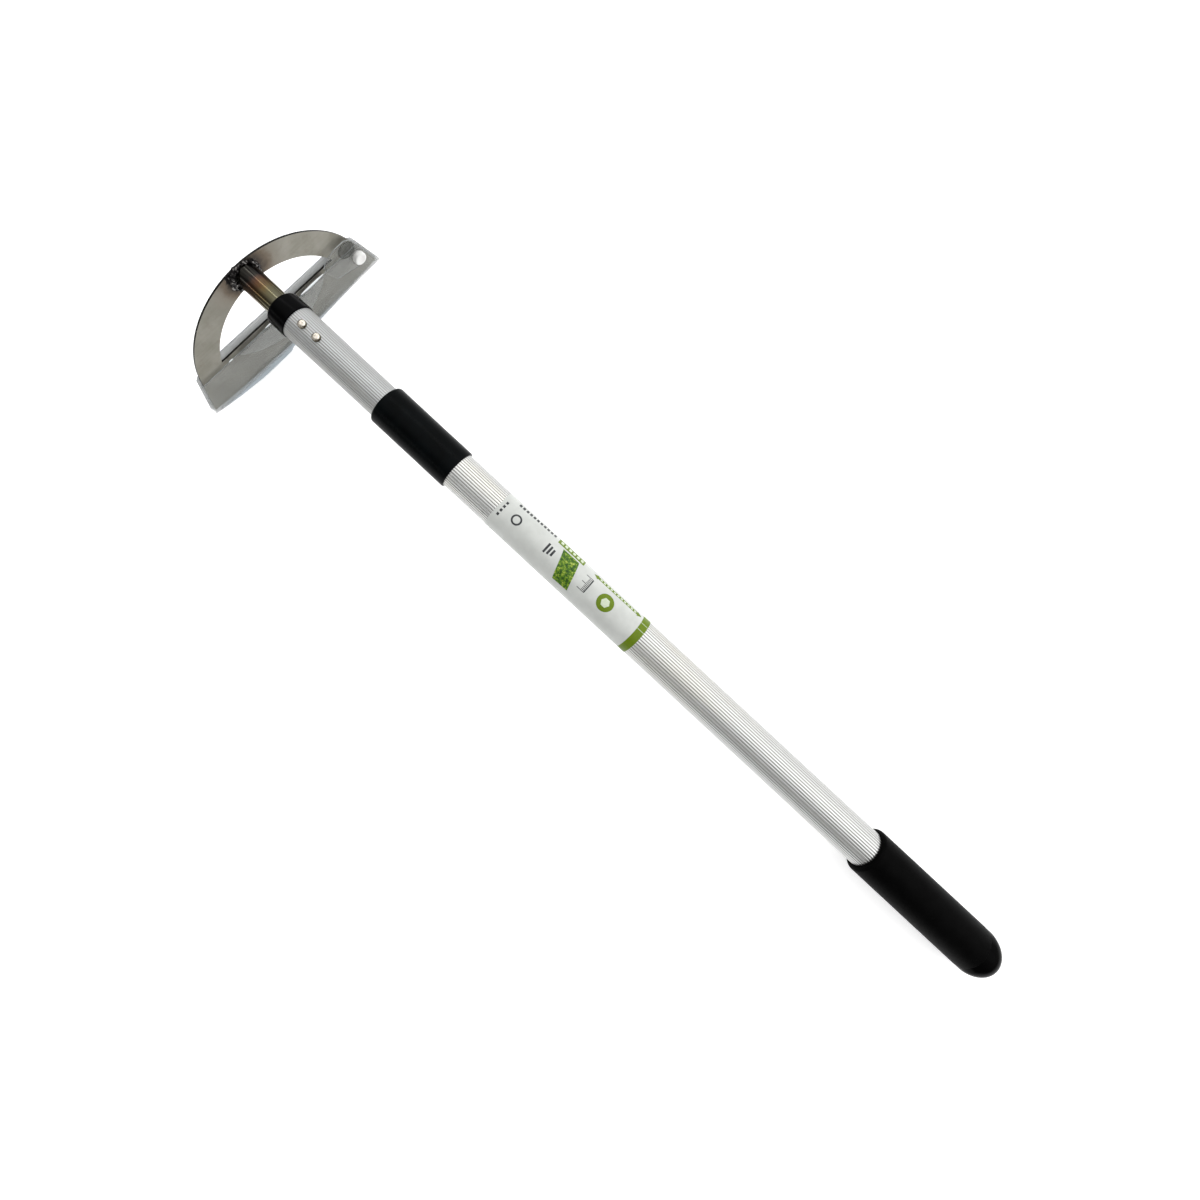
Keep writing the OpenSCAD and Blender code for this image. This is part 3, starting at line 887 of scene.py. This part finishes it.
def hidden_parts():
    """What the handle holds inside: guide ring, plug, screw, nut, sleeve and cone."""
    white = moulded("lock_white", (0.7, 0.69, 0.66), (0.8, 0.79, 0.76), 0.4)
    steel = bare_metal("lock_steel", (0.35, 0.35, 0.36), (0.55, 0.55, 0.56), 0.3)
    brass = bare_metal("lock_brass", (0.5, 0.34, 0.12), (0.72, 0.52, 0.22), 0.28)
    black = moulded("bush_black", (0.008, 0.008, 0.009), (0.014, 0.014, 0.015), 0.45)
    for material, names in ((white, ("lock_plug", "lock_sleeve")), (brass, ("lock_cone",)),
                            (steel, ("lock_screw", "lock_end_nut")), (black, ("mouth_bush",))):
        for name in names:
            repaint(name, material)


# --- Floor, light and camera ---

FLOOR_GLOW = 0.6
DOME_TOWARDS = (0.1, 0.55, 0.85)
DOME = (0.15, 0.8, 0.25, 1.4)  # how near to that direction, from and to; then the light there
LAMPS = {  # where from the middle, its size along the tool and across it, power
    "key": ((0.1, 1.0, 0.9), 1.2, 0.8, 0.6),
    "end": ((1.1, 0.5, 1.0), 0.9, 0.9, 1.8),
    "strip_right": ((-0.4, 0.8, 1.05), 2.6, 0.08, 3.2),
    "strip_left": ((-0.5, -1.0, 0.5), 2.4, 0.06, 1.6),
}


def studio():
    """Pale floor under the tool, a soft dome brighter to one side, and broad lamps above."""
    white = Paint("studio_floor", Roughness=0.9, Emission_Strength=FLOOR_GLOW)
    for socket in ("Base Color", "Emission Color"):
        white.shader.inputs[socket].default_value = (0.86, 0.86, 0.86, 1.0)
    white.shader.inputs["Specular IOR Level"].default_value = 0.0
    bm = bmesh.new()
    bmesh.ops.create_grid(bm, x_segments=1, y_segments=1, size=4.0)
    mesh = bpy.data.meshes.new("floor")
    bm.to_mesh(mesh)
    bm.free()
    mesh.materials.append(white.material)
    floor = bpy.data.objects.new("floor", mesh)
    bpy.context.scene.collection.objects.link(floor)

    world = bpy.data.worlds.new("studio_air")
    world.use_nodes = True
    nodes, links = world.node_tree.nodes, world.node_tree.links
    facing = nodes.new("ShaderNodeVectorMath")
    facing.operation = "DOT_PRODUCT"
    facing.inputs[1].default_value = Vector(DOME_TOWARDS).normalized()
    links.new(nodes.new("ShaderNodeTexCoord").outputs["Generated"], facing.inputs[0])
    glow = nodes.new("ShaderNodeMapRange")
    glow.interpolation_type = "SMOOTHSTEP"
    for socket, value in zip(("From Min", "From Max", "To Min", "To Max"), DOME):
        glow.inputs[socket].default_value = value
    links.new(facing.outputs["Value"], glow.inputs["Value"])
    links.new(glow.outputs[0], nodes["Background"].inputs[1])
    nodes["Background"].inputs[0].default_value = (1.0, 1.0, 1.0, 1.0)
    bpy.context.scene.world = world

    middle = (CAD_BOX[0] + CAD_BOX[1]) / 2
    for name, (offset, length, width, power) in LAMPS.items():
        lamp = bpy.data.lights.new(name, "AREA")
        lamp.shape = "RECTANGLE"
        lamp.size, lamp.size_y = length, width
        lamp.energy = power
        made = bpy.data.objects.new(name, lamp)
        made.location = middle + Vector(offset)
        made.rotation_euler = (-Vector(offset)).to_track_quat("-Z", "Y").to_euler()
        bpy.context.scene.collection.objects.link(made)


def camera():
    """Close and almost square to the shaft, rolled so that the shaft runs down to the right."""
    station, side, height = 287.8, -33.9, 427.2  # millimetres in the shaft's frame
    about_shaft, on_picture = 6.9, 42.85  # degrees
    view_width, shift = 1200 / 620, (0.0260, -0.0510)
    data = bpy.data.cameras.new("camera")
    data.sensor_width = 36.0
    data.lens = 36.0 / view_width
    data.shift_x, data.shift_y = shift
    data.clip_start = 0.01
    made = bpy.data.objects.new("camera", data)
    bpy.context.scene.collection.objects.link(made)
    place = SHAFT @ Matrix.Translation((station, side, height))
    turn_about = Matrix.Rotation(math.radians(about_shaft), 4, "X")
    turn_in = Matrix.Rotation(math.radians(on_picture), 4, "Z")
    made.matrix_world = (place @ turn_about @ turn_in) @ Matrix.Scale(1 / MM, 4)
    bpy.context.scene.camera = made


bpy.context.scene.view_settings.view_transform = "Standard"
camera()
studio()
blade()
weld()
pipe()
collar()
rivets()
tubes()
middle_sleeve()
grip()
label()
VINYL = cover()
lit_lip()
tongue(VINYL)
tab(VINYL)
snap()
hidden_parts()
